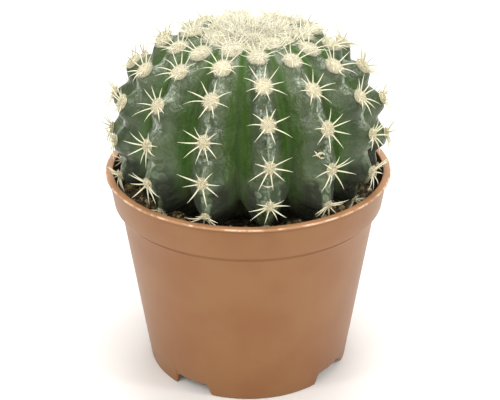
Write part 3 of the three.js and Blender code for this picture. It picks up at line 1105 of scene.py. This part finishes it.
@dataclass
class RibbedGlobe:
    """The form of the stem: ribs round a flattened globe, and the areoles along each rib."""

    ribs: int = 14
    first_rib: float = 8.3
    radius: float = 57.3
    middle: float = 104.0
    top_height: float = 44.5
    bottom_height: float = 30.0
    exponent: float = 2.5
    stations: int = 1801
    groove: float = 12.0
    crest_rounding: float = 0.14
    saddle: float = 3.64
    crown_radius: float = 17.0
    crown_height: float = 144.6
    pit_rim: float = 4.0
    areole_first: float = 26.0
    areole_step: float = 16.0
    areole_last: float = 108.0
    young_steps: tuple = (12.5, 9.5, 7.0)
    youngest: float = 9.0
    underside_radius: float = 21.0

    # Share of a step by which each rib's areoles are shifted down, from the front rib round.
    shifts: tuple = (0.0, 0.3, 0.9, 0.5, 0.15, 0.65, 0.3, 0.85, 0.4, 0.05, 0.57, 0.25, 0.85, 0.45)

    def __post_init__(self) -> None:
        """Works out the crest's stations and their distance from the apex."""
        angle = np.linspace(math.pi / 2, -math.pi / 2, self.stations)
        power, steepness = 2 / self.exponent, self.exponent - 1
        half = np.where(angle >= 0, self.top_height, self.bottom_height)
        r = self.radius * np.maximum(np.cos(angle), 1e-9) ** power
        z = self.middle + half * np.sign(np.sin(angle)) * np.abs(np.sin(angle)) ** power
        self.along = np.concatenate([[0.0], np.cumsum(np.hypot(np.diff(r), np.diff(z)))])
        steep = (r / self.radius) ** steepness / self.radius
        rise = np.sign(z - self.middle) * (np.abs(z - self.middle) / half) ** steepness
        # Radius, height and outward normal of the crest at each station.
        self.rows = (r, z, *unit(np.column_stack([steep, rise / half])).T)
        low = (z < self.middle) & (r < self.underside_radius)
        self.underside = float(self.along[np.argmax(low)])

    def turn_angle(self, turn: Array) -> Array:
        """Azimuth in radians of a place counted in ribs from the first one."""
        return math.radians(self.first_rib) + FULL_TURN * np.asarray(turn) / self.ribs

    def crest(self, distance: Array) -> tuple[Array, ...]:
        """Radius, height and outward normal of the crest at distances from the apex."""
        return tuple(np.interp(distance, self.along, row) for row in self.rows)

    def beyond(self, distance: Array, turn: Array) -> Array:
        """How far past the last areole a place on a rib is, as a share of a step."""
        shift = np.array(self.shifts)[np.mod(np.round(turn).astype(int), self.ribs)]
        return np.mod((distance - self.areole_first) / self.areole_step - shift, 1.0)

    def surface(self, distance: Array, turn: Array) -> Array:
        """Points of the skin.

        Args:
            distance: Distances from the apex along the crest.
            turn: Places round the stem in ribs from the first, so 0.5 is a groove.

        Returns:
            The points.
        """
        r, z, normal_r, normal_z = self.crest(distance)
        across = 2 * np.abs(turn - np.round(turn))
        rounding = self.crest_rounding
        ridge = (np.hypot(across, rounding) - rounding) / (math.hypot(1, rounding) - rounding)
        flank = 0.75 * ridge + 0.25 * across**2
        depth = self.groove * smooth(distance, 17, 60) ** 0.7 * smooth(r, 16, 44)
        past = self.beyond(distance, turn)
        chin = smooth(past, 0.22, 0.52) * (1 - smooth(past, 0.5, 1.06))
        dip = self.saddle * chin * smooth(distance, 20, 45) * (1 - across) ** 1.5
        sink = depth * flank + dip
        inner, outer = self.crown_radius, self.crown_radius + self.pit_rim
        pit = np.maximum(0, z - self.crown_height) * (1 - smooth(r, inner, outer))
        pit = np.where(distance < self.along[-1] / 2, pit, 0)
        return polar(np.maximum(r - sink * normal_r, 0), self.turn_angle(turn), z - sink * normal_z - pit)

    def places(self) -> list[tuple[int, float]]:
        """Where the areoles are, from the crown's own ones down to the soil.

        Returns:
            Each areole's rib and its distance from the apex.
        """
        places = []
        for rib, shift in enumerate(self.shifts):
            first = self.areole_first + self.areole_step * shift
            places += [(rib, float(d)) for d in np.arange(first, self.areole_last, self.areole_step)]
            young = [first - float(back) for back in np.cumsum(self.young_steps)]
            places += [(rib, distance) for distance in young if distance > self.youngest]
        return places

    def areole(self, rib: int, distance: float) -> "Areole":
        """The areole on a rib.

        Args:
            rib: The rib.
            distance: Its distance from the apex.

        Returns:
            The areole.
        """
        spots = self.surface(np.array([distance, distance - 1, distance + 1]), np.full(3, float(rib)))
        _, _, normal_r, normal_z = self.crest(np.array([distance]))
        outward = polar(normal_r, self.turn_angle(rib), normal_z)[0]
        return Areole.facing(spots[0], outward, spots[1] - spots[2], distance)


@dataclass(frozen=True)
class Areole:
    """One areole: where it is, its directions out of, up and across the rib, and its stage of life."""

    centre: Array
    outward: Array
    upward: Array
    sideways: Array
    age: float
    freshness: float
    buried: float

    @classmethod
    def facing(cls, centre: Array, outward: Array, upward: Array, distance: float) -> "Areole":
        """An areole with its directions squared up.

        Args:
            centre: Its middle.
            outward: The direction that it faces.
            upward: Roughly up the rib.
            distance: Its distance from the apex, which gives its age.

        Returns:
            The areole.
        """
        outward = unit(outward)
        upward = unit(upward - outward * float(upward @ outward))
        age = float(smooth(distance, 22, 84))
        freshness = float(1 - smooth(distance, 12, 36))
        buried = float(smooth(distance, 84, 104))
        return cls(centre, outward, upward, np.cross(upward, outward), age, freshness, buried)

    def around(self, angle: Array, tall: float = 1.0, wide: float = 1.0) -> Array:
        """Directions along the skin at angles from up the rib, one a row."""
        return np.cos(angle) * self.upward * tall + np.sin(angle) * self.sideways * wide


@dataclass
class CactusStem:
    """The green stem, from the crown's pit down to the root in the soil."""

    form: RibbedGlobe
    columns: int = 448
    rows: int = 200
    neck_share: float = 0.06
    swell: float = 0.35
    fine_swell: float = 0.16
    # Where the painted shade of the base ends: its height at the crests, its rise towards the grooves and
    # its waver.
    shade_edge_height: float = 87.0
    shade_edge_rise: float = 16.5
    shade_edge_waver: float = 2.0

    # Radius and height down the root, below the stem's underside.
    neck: tuple = ((20.0, 74.9), (14.0, 74.0), (13.0, 60.0), (3.6, 40.4), (0.0, 38.4))

    def build(self) -> Piece:
        """Makes the stem from a ball whose vertices are moved on to the ribbed form.

        Returns:
            The stem.
        """
        mesh, azimuth, share = ball_mesh("stem", self.columns, self.rows)
        turn = (azimuth - math.radians(self.form.first_rib)) * self.form.ribs / FULL_TURN
        body_share = 1 - self.neck_share
        distance = np.minimum(share / body_share, 1) * self.form.underside
        down = np.clip((share - body_share) / self.neck_share, 0, 1)
        stations = np.linspace(0, 1, len(self.neck))
        neck_r, neck_z = (np.interp(down, stations, row) for row in zip(*self.neck))
        points = self.form.surface(distance, turn)
        points = np.where((down > 0)[:, None], polar(neck_r, azimuth, neck_z), points)
        across = 2 * np.abs(turn - np.round(turn))
        points = self.roughen(points, distance, across, down)
        write_points(mesh, points)
        self.mark(mesh, points, distance, turn)
        return make_object("stem", mesh)

    def roughen(self, points: Array, distance: Array, across: Array, down: Array) -> Array:
        """Adds the skin's gentle unevenness, most on the flanks and on the old lower ribs.

        Args:
            points: The stem's vertices.
            distance: Their distances from the apex along the crest.
            across: 0 on a crest and 1 in a groove.
            down: How far down the root they are, 0 to 1.

        Returns:
            The moved vertices.
        """
        outward = unit(points - [0, 0, self.form.middle])
        swell = self.swell * grain(points, 7.0, 3) + self.fine_swell * grain(points, 2.6, 4)
        age = 0.6 + 0.6 * smooth(distance, 60, 110)
        keep = (1 - 0.6 * smooth(across, 0.8, 1.0)) * smooth(distance, 18, 30) * (1 - smooth(down, 0, 0.05))
        return points + outward * (swell * age * keep)[:, None]

    def mark(self, mesh: Mesh, points: Array, distance: Array, turn: Array) -> None:
        """Keeps where the crests, the waxy patches with painted glints, the corky spots, the painted shade
        of the base and the painted fill light in the lowest grooves are.

        Args:
            mesh: The stem's mesh.
            points: Its vertices, in millimetres.
            distance: Their distances from the apex along the crest.
            turn: Their places round the stem, in ribs.
        """
        across = 2 * np.abs(turn - np.round(turn))
        past = self.form.beyond(distance, turn)
        # Where the wax bloom and the painted glints go: halfway down from each areole, near the crest.
        spread = 0.5 - 0.2 * smooth(distance, 45, 62)
        bloom_and_glint = np.exp(-(((past - 0.5) / 0.24) ** 2)) * (1 - smooth(across / spread, 0.25, 1.0))

        # The painted shade of the base rises from the crests to the grooves, and leaves more of the front
        # rib's crest free.
        start = 0.05 + 0.22 * np.exp(-((turn / 0.5) ** 2))
        edge = self.shade_edge_height + self.shade_edge_rise * smooth(across - start, 0, 0.2)
        edge = edge + self.shade_edge_waver * grain(points, 14.0, 6)
        dark = 1 - smooth(points[:, 2] - edge, -2.5, 2)
        marks = {
            "across": across,
            "bloom_and_glint": bloom_and_glint * smooth(distance, 22, 34) * (1 - smooth(distance, 72, 96)),
            "cork": smooth(distance, 76, 90) * (1 - smooth(across, 0.45, 0.75)),
            "shaded": dark * (1 - 0.75 * smooth(across, 0.55, 0.85)),
            "painted_fill_light": 0.7 * smooth(distance, 92, 108) * smooth(across, 0.45, 0.8),
            "young": 1 - smooth(distance, 30, 70),
            "unrolled": polar(self.form.radius, self.form.turn_angle(turn), distance) * MM,
        }
        for name, values in marks.items():
            write_attribute(mesh, name, values)


@dataclass
class Clusters:
    """Areoles' felt pads, the fuzz that blurs them, and their rings of spines."""

    name: str
    areoles: list[Areole]
    seed: int
    young_pad: float = 4.3
    old_pad: float = 2.2
    pad_height: float = 1.5
    pad_sink: float = 0.55
    pad_bumps: float = 0.1
    swelling: float = 0.2
    fuzz: int = 520
    fuzz_radius: float = 0.08
    fuzz_lengths: tuple = (0.6, 1.3)
    spine_radius: float = 0.3
    spine_lengths: tuple = (5.8, 9.0)
    spine_counts: tuple = (8, 11)
    new_spines: int = 3
    limpness: float = 0.1

    # Degrees that spines rise from the skin, and how much more the upper, young and new ones do.
    rise: float = 13.0
    rise_above: float = 23.0
    rise_young: float = 12.0
    rise_new: float = 26.0

    def __post_init__(self) -> None:
        """Works out each pad's size."""
        self.draw = np.random.default_rng(self.seed)
        self.ages = np.array([areole.age for areole in self.areoles])
        self.freshness = np.array([areole.freshness for areole in self.areoles])
        size = self.draw.uniform(0.93, 1.07, len(self.areoles))
        shrunk = 1 - 0.5 * np.array([areole.buried for areole in self.areoles])
        size *= shrunk * (1 + self.swelling * self.freshness)
        self.pads = (self.young_pad + (self.old_pad - self.young_pad) * self.ages) * size
        self.heights = self.pad_height + 0.9 * (1 - self.ages) + 0.5 * self.freshness

    def keep_clear(self, tips: Array) -> Array:
        """Spine tips, moved off what they would run into. Nothing is in these ones' way."""
        return tips

    def make(self, kind: str, mesh: Mesh, youth: Array) -> Piece:
        """The object of one kind of these pieces, with how white each vertex is."""
        write_attribute(mesh, "youth", np.repeat(youth, len(mesh.vertices) // len(youth)))
        return make_object(f"{self.name}_{kind}", mesh)

    def whiteness(self) -> Array:
        """How white each pad's wool is, from 0 on old pads to 1 at the crown."""
        return 0.7 * (1 - self.ages) + 0.3 * self.freshness

    def build_pads(self) -> Piece:
        """The felt pads, lumpy domes sunk into the crest.

        Returns:
            The pads.
        """
        ball = Template.ball(2)
        copies = []
        for areole, size, height in zip(self.areoles, self.pads, self.heights):
            bumps = 1 + self.pad_bumps * grain(ball.points, 0.5, float(self.draw.uniform(0, 50)))
            across, along, out = (ball.points * bumps[:, None]).T[:, :, None]
            copies.append(
                areole.centre
                + areole.outward * (out * height - self.pad_sink)
                + areole.upward * along * size * 0.98
                + areole.sideways * across * size * 0.86
            )
        mesh = ball.repeated(f"{self.name}_pads", np.array(copies))
        return self.make("pads", mesh, self.whiteness())

    def build_fuzz(self) -> Piece:
        """Soft hairs that lie matted over each pad and stand out a little at its edge.

        Returns:
            The hairs.
        """
        roots, heads = [], []
        shape = (self.fuzz, 1)
        for areole, size, height in zip(self.areoles, self.pads, self.heights):
            angle = self.draw.uniform(0, FULL_TURN, shape)
            flow = self.draw.uniform(0, FULL_TURN, shape)
            reach = np.minimum(np.sqrt(self.draw.uniform(0.0, 1.4, shape)), 1.0)
            out = areole.around(angle, 0.96, 0.84)
            dome = height * np.sqrt(1 - reach**2) - 0.6
            rim = self.draw.uniform(-0.5, 0.1, shape)
            roots.append(areole.centre + out * reach * size + areole.outward * np.maximum(dome, rim))
            rise = self.draw.uniform(0.1, 0.55, shape) * (1.2 - reach)
            heads.append(areole.around(flow) * 0.8 + out * reach**2 * 1.1 + areole.outward * rise)
        total = len(self.areoles) * self.fuzz
        lengths = self.draw.uniform(*self.fuzz_lengths, total)
        lengths = lengths * np.repeat(0.9 + 0.9 * self.freshness, self.fuzz)
        bends = self.draw.normal(0, 0.2, (total, 3))
        radii = np.full(total, self.fuzz_radius)
        spikes = Spikes(np.concatenate(roots), unit(np.concatenate(heads)), bends, lengths, radii)
        return self.make("fuzz", spikes.mesh(f"{self.name}_fuzz", Template.hair()), self.whiteness())

    def build_spines(self) -> Piece:
        """The curved spines, in a ring round each pad.

        Returns:
            The spines.
        """
        template = Template.taper(6, 6, 2.1)
        rows = []
        for areole, size in zip(self.areoles, self.pads):
            age, fresh = areole.age, areole.freshness
            count = int(self.draw.integers(*self.spine_counts)) + round(self.new_spines * fresh)
            jitter = 0.45 * self.draw.uniform(-0.5, 0.5, count)
            angle = self.draw.uniform(0, FULL_TURN) + FULL_TURN * (np.arange(count) + jitter) / count
            out = areole.around(angle[:, None])
            above = (0.5 + 0.5 * np.cos(angle)) ** 2
            rise = self.rise + self.rise_above * above + self.rise_young * (1 - age) + self.rise_new * fresh
            rise = np.radians(rise + self.draw.uniform(-6, 6, count) * (1 + 1.5 * fresh))
            length = self.draw.uniform(*self.spine_lengths, count) * (0.85 + 0.15 * age - 0.1 * fresh)
            length *= np.where(np.abs(np.cos(angle)) > 0.85, 0.88, 1.0) * (1 - 0.25 * areole.buried)
            tip = areole.centre + out * (0.8 * size + length * np.cos(rise))[:, None]
            tip = tip + areole.outward * (0.4 + length * np.sin(rise))[:, None]
            root = areole.centre + out * 0.5 * size + areole.outward * (0.25 + 0.8 * fresh)
            arch = self.draw.uniform(0.08, 0.34, (count, 1)) * (1 - 0.5 * fresh)
            curl = self.draw.normal(0, self.limpness, (count, 3))
            curl -= areole.outward * arch + areole.upward * 0.06
            radii = self.spine_radius * self.draw.uniform(0.85, 1.15, count) * (0.8 + 0.2 * age)
            youth = np.full(count, 0.35 * (1 - age) + 0.65 * fresh)
            rows.append((root, self.keep_clear(tip), curl, radii, youth))
        roots, tips, bends, radii, youth = (np.concatenate(parts) for parts in zip(*rows))
        lengths = np.linalg.norm(tips - roots, axis=1)
        headings = (tips - roots) / lengths[:, None] - bends
        mesh = Spikes(roots, headings, bends, lengths, radii).mesh(f"{self.name}_spines", template)
        write_attribute(mesh, "along", np.tile(template.points[:, 2], len(lengths)))
        return self.make("spines", mesh, youth)


@dataclass
class RibClusters(Clusters):
    """The clusters on the stem's ribs, which stay clear of the pot, the soil and the crown."""

    soil: PeatSoil | None = None
    crown_edge: float = 15.0
    crown_base: float = 142.6
    lip_gap: float = 1.2
    soil_gap: float = 1.4

    def keep_clear(self, tips: Array) -> Array:
        """Keeps tips inside the pot's mouth, above the soil and out of the crown's wool.

        Args:
            tips: The spines' tips.

        Returns:
            The tips, moved where they have to be.
        """
        pot, height, radius = self.soil.pot, tips[:, 2], radius_of(tips)
        mouth = np.array([pot.inside(min(z, pot.height)) for z in height]) - self.lip_gap
        radius = np.where(height < pot.height + 1.5, np.minimum(radius, mouth), radius)
        radius = np.where(height > self.crown_base, np.maximum(radius, self.crown_edge), radius)
        return polar(radius, azimuth_of(tips), np.maximum(height, self.soil.edge_height + self.soil_gap))


@dataclass
class DryBits:
    """The few bits of dried fibre that cling to the front of the stem."""

    form: RibbedGlobe
    arc_place: tuple[float, float] = (0.0, 83.0)
    curl_place: tuple[float, float] = (0.9, 73.0)
    arc_half: float = 2.9
    curl_radius: float = 1.1
    curl_pieces: int = 5
    crumpled: int = 7
    crumpled_lengths: tuple = (0.9, 1.9)
    thickness: float = 0.3
    seed: int = 31

    def on_skin(self, place: tuple[float, float]) -> tuple[Array, ...]:
        """A point on the skin with the directions there.

        Args:
            place: Its place round the stem in ribs, and its distance from the apex.

        Returns:
            The point, and the directions out of, up and across the skin.
        """
        turn, distance = place
        near = self.form.surface(
            np.array([distance, distance - 0.5, distance + 0.5, distance, distance]),
            np.array([turn, turn, turn, turn - 0.02, turn + 0.02]),
        )
        upward, sideways = unit(near[1] - near[2]), unit(near[4] - near[3])
        return near[0], unit(np.cross(sideways, upward)), upward, sideways

    def build(self) -> Piece:
        """An arc under one areole and a loose curl on the next rib, as tapered bits end to end.

        Returns:
            The bits.
        """
        spot, outward, upward, sideways = self.on_skin(self.arc_place)
        root, bend = spot + outward * 0.35, upward * 0.35 - outward * 0.15
        bits = [(root, side * sideways - outward * 0.12, bend, self.arc_half) for side in (1, -1)]
        spot, outward, upward, sideways = self.on_skin(self.curl_place)
        for turn in np.arange(self.curl_pieces) * FULL_TURN / (self.curl_pieces + 1):
            out = math.cos(turn) * sideways + math.sin(turn) * upward
            onward = -math.sin(turn) * sideways + math.cos(turn) * upward
            root = spot + out * self.curl_radius + outward * (0.5 + 0.12 * turn)
            bits.append((root, onward, -0.5 * out, 1.35 * self.curl_radius))
        draw = np.random.default_rng(self.seed)
        heap = spot + 0.7 * upward - 1.1 * sideways
        for turn in draw.uniform(0, FULL_TURN, self.crumpled):
            out = math.cos(turn) * sideways + math.sin(turn) * upward
            root = heap + 0.5 * out + outward * draw.uniform(0.3, 0.9)
            heading = unit(draw.normal(0, 1, 3) * [1, 1, 0.6] + 0.3 * outward)
            bend = 0.5 * draw.normal(0, 1, 3)
            bits.append((root, heading, bend, draw.uniform(*self.crumpled_lengths)))
        arrays = [np.array(row) for row in zip(*bits)]
        spikes = Spikes(*arrays, np.full(len(bits), self.thickness))
        return make_object("dry_bits", spikes.mesh("dry_bits", Template.taper(6, 5, 2.0)))


@dataclass
class WoollyCrown:
    """The growing point: a lumpy cream heap of new areoles with long hairs between them."""

    form: RibbedGlobe
    radius: float = 17.6
    height: float = 149.4
    clearance: float = 0.35
    lump_height: float = 1.1
    lump_size: float = 3.2
    felt: float = 0.14
    columns: int = 176
    rows: int = 96
    hairs: int = 6500
    hair_radius: float = 0.07
    hair_lengths: tuple = (1.2, 2.8)
    seed: int = 23
    central: int = 8
    central_radius: float = 7.5
    golden: float = math.pi * (3 - math.sqrt(5))

    def __post_init__(self) -> None:
        """Places the new areoles: the ribs' own in a ring, and a spiral in the middle."""
        self.draw = np.random.default_rng(self.seed)
        ribs, distances = zip(*(place for place in self.form.places() if place[1] <= self.radius))
        index = np.arange(self.central)
        inner_radius = self.central_radius * np.sqrt((index + 0.4) / self.central)
        radii = np.concatenate([self.form.crest(np.array(distances))[0], inner_radius])
        azimuths = np.concatenate([self.form.turn_angle(ribs), index * self.golden])
        self.tufts = polar(radii, azimuths, 0.0)
        self.tufts[:, 2] = self.level(self.tufts)

    def level(self, points: Array) -> Array:
        """Height of the wool's surface under points.

        Args:
            points: The points, one a row.

        Returns:
            One height a point.
        """
        share = np.minimum(radius_of(points) / self.radius, 1.0)
        base = self.form.crown_height + 0.9
        dome = base + (self.height - base) * np.sqrt(np.maximum(0, 1 - share**2.4))
        gaps = np.linalg.norm(points[:, None, :2] - self.tufts[None, :, :2], axis=2)
        lumps = np.exp(-((gaps / self.lump_size) ** 2)).max(axis=1)
        return dome + self.lump_height * (lumps - 0.35) * (1 - share**6)

    def areoles(self) -> list[Areole]:
        """The tufts as areoles that lean outwards from the middle.

        Returns:
            The areoles.
        """
        made = []
        for tuft in self.tufts:
            radius = float(np.hypot(tuft[0], tuft[1]))
            outward = np.array([tuft[0], tuft[1], 0]) * 0.85 / self.radius + [0, 0, 1]
            inward = np.array([-tuft[0], -tuft[1], 0]) / max(radius, 0.1)
            made.append(Areole.facing(tuft - [0, 0, 0.6], outward, inward, radius))
        return made

    def build_dome(self) -> Piece:
        """The wool's body, resting in the crown's pit.

        Returns:
            The dome.
        """
        mesh, azimuth, share = ball_mesh("wool_dome", self.columns, self.rows)
        seat = self.form.crown_height + self.clearance
        out = np.where(share < 0.5, np.sin(share * math.pi) ** 0.8, (1 - smooth(share, 0.5, 1.0)) ** 0.9)
        ragged = 0.06 * grain(polar(1.0, azimuth, 0), 0.16, 3)
        radius = out * self.radius * (1 + ragged * out)
        points = polar(radius, azimuth, 0)
        low = seat + np.maximum(0, radius - self.form.crown_radius) * 0.64
        felt = self.felt * grain(points, 0.9, 5)
        points[:, 2] = np.where(share < 0.5, np.maximum(self.level(points) + felt, low), low)
        write_points(mesh, points)
        write_attribute(mesh, "youth", np.full(len(points), 0.9))
        return make_object("wool_dome", mesh)

    def build_hairs(self) -> Piece:
        """Fine hairs all over the dome, leaning outwards from the nearest tuft.

        Returns:
            The hairs.
        """
        draw, count = self.draw, self.hairs
        reach = 0.97 * self.radius * np.sqrt(draw.uniform(0, 1, count))
        roots = polar(reach, draw.uniform(0, FULL_TURN, count), 0)
        roots[:, 2] = self.level(roots) - 0.2
        gaps = roots[:, None, :2] - self.tufts[None, :, :2]
        nearest = np.linalg.norm(gaps, axis=2).argmin(axis=1)
        lean = gaps[np.arange(count), nearest] * 0.2 + roots[:, :2] * 0.03
        heads = np.column_stack([lean, np.ones(count)]) + draw.normal(0, 0.5, (count, 3))
        heads[:, 2] = np.clip(heads[:, 2], 0.25, 0.8)
        bends = draw.normal(0, 0.28, (count, 3))
        lengths = draw.uniform(*self.hair_lengths, count)
        spikes = Spikes(roots, unit(heads), bends, lengths, np.full(count, self.hair_radius))
        mesh = spikes.mesh("wool_hairs", Template.taper(3, 3))
        write_attribute(mesh, "youth", np.full(len(mesh.vertices), 0.95))
        return make_object("wool_hairs", mesh)


# Studio


@dataclass
class Studio:
    """The photograph's viewpoint, a plain pale floor and soft light."""

    distance: float = 500.0
    aim_height: float = 72.4
    shift_right: float = 0.78
    elevation: float = 26.54
    lens: float = 83.8
    sensor_width: float = 36.0
    nearest: float = 0.01
    floor_size: float = 6.0
    floor_colour: Colour = (0.97, 0.97, 0.97, 1.0)
    sky_colour: Colour = (1.0, 0.985, 0.955, 1.0)
    sky_strength: float = 0.6
    light_colour: tuple = (1.0, 0.98, 0.94)
    light_aim: tuple = (0, 0, 0.09)

    # Each light's name, its place and its side in metres, and its power in watts.
    lights: tuple = (
        ("front_box", (0.0, -1.0, 0.75), 0.5, 1.9),
        ("left_box", (-0.75, -0.85, 0.85), 0.45, 2.2),
        ("right_box", (0.85, -0.6, 0.85), 0.4, 1.4),
        ("top_box", (0.05, 0.15, 1.2), 0.6, 7.4),
        ("left_lamp", (-0.7, -0.5, 1.1), 0.14, 2.5),
        ("right_lamp", (0.8, -0.4, 1.0), 0.14, 2.8),
        ("back_box", (0.0, 1.0, 0.9), 0.6, 3.0),
    )

    def place_camera(self) -> None:
        """Puts the camera where the photograph was taken from."""
        data = bpy.data.cameras.new("camera")
        data.lens = self.lens
        data.sensor_width = self.sensor_width
        data.clip_start = self.nearest
        camera = bpy.data.objects.new("camera", data)
        tilt = math.radians(self.elevation)
        back, rise = self.distance * math.cos(tilt), self.distance * math.sin(tilt)
        camera.location = (self.shift_right * MM, -back * MM, (self.aim_height + rise) * MM)
        camera.rotation_euler = (math.radians(90) - tilt, 0, 0)
        bpy.context.scene.collection.objects.link(camera)
        bpy.context.scene.camera = camera

    def lay_floor(self) -> None:
        """Lays the floor."""
        bm = bmesh.new()
        bmesh.ops.create_grid(bm, x_segments=1, y_segments=1, size=0.5 * self.floor_size / MM)
        floor = make_object("floor", mesh_from(bm, "floor"))
        floor.data.materials.append(NodeSheet("pale_floor", self.floor_colour).shade(Roughness=0.9))

    def add_light(self, name: str, place: tuple, size: float, power: float) -> None:
        """Adds a square soft light that faces the plant.

        Args:
            name: Its name.
            place: Where it hangs, in metres.
            size: Its side, in metres.
            power: Its power, in watts.
        """
        data = bpy.data.lights.new(name, "AREA")
        data.size = size
        data.energy = power
        data.color = self.light_colour
        light = bpy.data.objects.new(name, data)
        light.location = place
        aim = Vector(self.light_aim) - Vector(place)
        light.rotation_euler = aim.to_track_quat("-Z", "Y").to_euler()
        bpy.context.scene.collection.objects.link(light)

    def light_up(self) -> None:
        """Sets the pale surroundings and the soft lights."""
        scene = bpy.context.scene
        scene.view_settings.view_transform = "Standard"
        world = bpy.data.worlds.new("surroundings")
        world.use_nodes = True
        background = world.node_tree.nodes["Background"]
        background.inputs["Color"].default_value = self.sky_colour
        background.inputs["Strength"].default_value = self.sky_strength
        scene.world = world
        for light in self.lights:
            self.add_light(*light)


# Assembly


def main() -> None:
    """Builds the studio and every piece of the plant, and dresses them."""
    logging.basicConfig(level=logging.INFO, format="%(name)s %(message)s")
    studio = Studio()
    studio.place_camera()

    pot = NurseryPot()
    settle(pot.build(), Node.POT, MouldedPlastic().make())

    soil = PeatSoil(pot)
    peat = Peat()
    loose = peat.make_crumbs()
    settle(soil.build_bed(), Node.SOIL, peat.make_bed())
    settle(soil.build_crumbs(), Node.SOIL, loose)
    settle(soil.build_fibres(), Node.SOIL, loose)

    form = RibbedGlobe()
    crown = WoollyCrown(form)
    spine = Spine().make()
    wool = Wool().make()
    down = Wool("crown_down", crown=tint(252, 248, 224)).make()
    fluff = Wool("fluff", tint(250, 243, 212), tint(246, 236, 196), tint(250, 246, 225)).make()
    settle(CactusStem(form).build(), Node.CACTUS, WaxySkin().make())
    settle(DryBits(form).build(), Node.CACTUS, DryFibre().make())

    grown = [form.areole(rib, distance) for rib, distance in form.places() if distance > crown.radius]
    ribs = RibClusters("areole", grown, seed=11, soil=soil)
    tufts = Clusters(
        "crown",
        crown.areoles(),
        seed=12,
        young_pad=3.3,
        pad_height=0.5,
        swelling=0.0,
        fuzz=900,
        spine_radius=0.2,
        limpness=0.2,
    )
    for clusters, node, felt in ((ribs, Node.CACTUS, wool), (tufts, Node.WOOL, down)):
        settle(clusters.build_pads(), node, felt)
        settle(clusters.build_fuzz(), node, fluff)
        settle(clusters.build_spines(), node, spine)
    settle(crown.build_dome(), Node.WOOL, down)
    settle(crown.build_hairs(), Node.WOOL, fluff)

    studio.lay_floor()
    studio.light_up()


if __name__ == "__main__":
    main()
